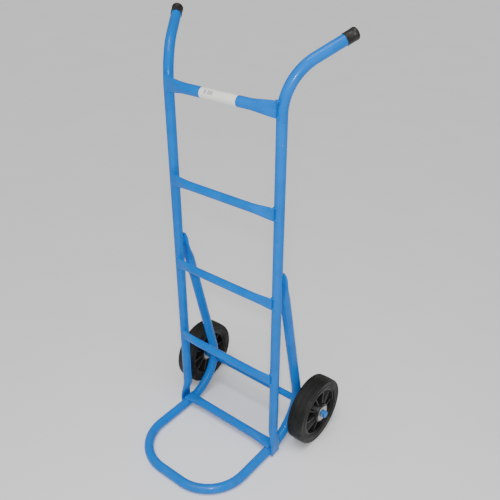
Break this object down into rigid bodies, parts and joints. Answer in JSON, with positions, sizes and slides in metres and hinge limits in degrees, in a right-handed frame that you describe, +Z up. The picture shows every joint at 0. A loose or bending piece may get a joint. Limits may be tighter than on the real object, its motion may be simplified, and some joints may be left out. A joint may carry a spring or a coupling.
{
  "type": "hand truck",
  "caption": "Tubular steel hand truck: ladder frame with bent-back capped handles, floor toe loop, rear braces and two solid wheels on a bar axle.",
  "frame": {"origin": "middle of the bounding box, on the floor", "axes": "+Z up along the uprights, +X across the truck to its right side, +Y from the toe loop back to the wheels"},
  "size_m": [0.5204, 0.4936, 1.1606],
  "materials": {
    "frame_paint": "glossy azure blue paint with small chips",
    "zinc_steel": "dull zinc plate",
    "tyre_rubber": "solid black rubber with fine ring lines",
    "hub_plastic": "black moulded plastic with a soft sheen",
    "bush_plastic": "dark grey nylon",
    "cap_plastic": "black soft plastic",
    "label_paper": "white coated paper with plain bars and no text"
  },
  "bodies": {
    "frame": {"left_upright": "frame_paint", "right_upright": "frame_paint", "top_rung": "frame_paint", "upper_rung": "frame_paint", "middle_rung": "frame_paint", "lower_rung": "frame_paint", "base_bar": "frame_paint", "toe_loop": "frame_paint", "rung_welds": "frame_paint", "foot_welds": "frame_paint", "base_bar_welds": "frame_paint", "brace_welds": "frame_paint", "axle_welds": "frame_paint", "axle": "frame_paint", "left_axle_spacer": "frame_paint", "right_axle_spacer": "frame_paint", "left_inner_washer": "zinc_steel", "right_inner_washer": "zinc_steel", "left_outer_washer": "zinc_steel", "right_outer_washer": "zinc_steel", "left_split_pin": "zinc_steel", "right_split_pin": "zinc_steel", "left_handle_cap": "cap_plastic", "right_handle_cap": "cap_plastic", "rung_label": "label_paper"},
    "left_wheel": {"left_tyre": "tyre_rubber", "left_hub": "hub_plastic", "left_hub_bush": "bush_plastic"},
    "right_wheel": {"right_tyre": "tyre_rubber", "right_hub": "hub_plastic", "right_hub_bush": "bush_plastic"}
  },
  "joints": [
    {"name": "left_wheel_spin", "type": "hinge", "parent": "frame", "child": "left_wheel", "pos_m": [-0.212, 0.1468, 0.1], "axis": [1, 0, 0], "continuous": true},
    {"name": "right_wheel_spin", "type": "hinge", "parent": "frame", "child": "right_wheel", "pos_m": [0.212, 0.1468, 0.1], "axis": [1, 0, 0], "continuous": true}
  ]
}
